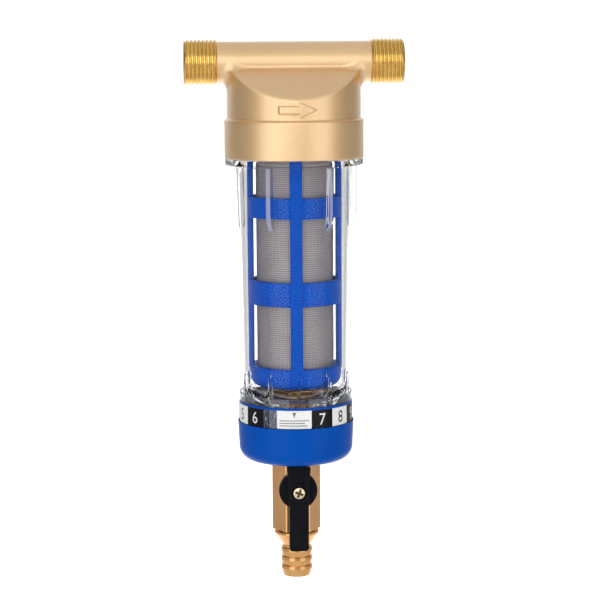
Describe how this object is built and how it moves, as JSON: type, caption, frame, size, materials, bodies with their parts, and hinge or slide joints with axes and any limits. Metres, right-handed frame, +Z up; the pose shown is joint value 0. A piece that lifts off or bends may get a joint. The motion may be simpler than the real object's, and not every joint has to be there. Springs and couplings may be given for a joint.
{
  "type": "magnetic system filter",
  "caption": "Spin-down in-line filter: brass tee head with threaded ports, clear screw-on bowl, mesh cartridge round a magnet rod, month ring, base cap and lever drain valve with hose tail.",
  "frame": {"origin": "where the axis through the two ports (X) crosses the axis of the bowl (Z)", "axes": "+X from inlet to outlet along the pipe run, +Z up along the bowl axis towards the head, -Y the front, where the flow arrow and the valve lever are"},
  "size_m": [0.1024, 0.0654, 0.2559],
  "materials": {
    "cast_brass": "satin blasted casting",
    "turned_brass": "turned",
    "clear_plastic": "clear moulded",
    "clear_ring": "clear moulded",
    "blue_plastic": "moulded",
    "blue_gloss": "gloss",
    "steel_mesh": "woven",
    "stainless": "drawn tube",
    "magnet_nickel": "nickel plated",
    "pole_steel": "turned",
    "label_white": "printed film",
    "label_black": "printed film",
    "black_rubber": "moulded",
    "polished_ball": "polished",
    "white_ptfe": "turned",
    "black_plastic": "moulded",
    "screw_plated": "plated"
  },
  "bodies": {
    "head": {"head_casting": "cast_brass", "cartridge_cage": "blue_plastic", "mesh_screen": "steel_mesh", "cartridge_seal": "black_rubber", "magnet_sleeve": "stainless", "magnet_stack": "magnet_nickel", "pole_washers": "pole_steel", "magnet_end_plug": "stainless"},
    "bowl_seal_carrier": {"bowl_seal": "black_rubber"},
    "bowl": {"clear_bowl": "clear_plastic", "base_cap": "blue_gloss", "drain_nut": "turned_brass", "nut_washer": "black_rubber", "floor_washer": "black_rubber", "valve_body": "turned_brass", "hose_tail": "turned_brass", "tail_seal": "black_rubber", "upper_seat": "white_ptfe", "lower_seat": "white_ptfe", "stem_thrust_washer": "white_ptfe"},
    "month_ring": {"month_ring": "clear_ring", "month_label": "label_white", "month_squares": "label_black"},
    "valve_handle": {"valve_lever": "black_plastic", "lever_screw": "screw_plated", "valve_stem": "turned_brass", "stem_seals": "black_rubber", "drain_ball": "polished_ball"}
  },
  "joints": [
    {"name": "bowl_lowering", "type": "slide", "parent": "head", "child": "bowl_seal_carrier", "axis": [0, 0, -1], "range_m": [0, 0.012]},
    {"name": "bowl_unscrewing", "type": "hinge", "parent": "bowl_seal_carrier", "child": "bowl", "pos_m": [0, 0, -0.0446], "axis": [0, 0, -1], "range_deg": [0, 1440]},
    {"name": "month_ring_turn", "type": "hinge", "parent": "bowl", "child": "month_ring", "pos_m": [0, 0, -0.165], "axis": [0, 0, 1], "continuous": true},
    {"name": "valve_lever_turn", "type": "hinge", "parent": "bowl", "child": "valve_handle", "pos_m": [0, -0.013, -0.2014], "axis": [0, 1, 0], "range_deg": [0, 90]}
  ],
  "couplings": [
    {"joint": "bowl_lowering", "follows": "bowl_unscrewing", "m_per_rad": 0.00047746}
  ]
}
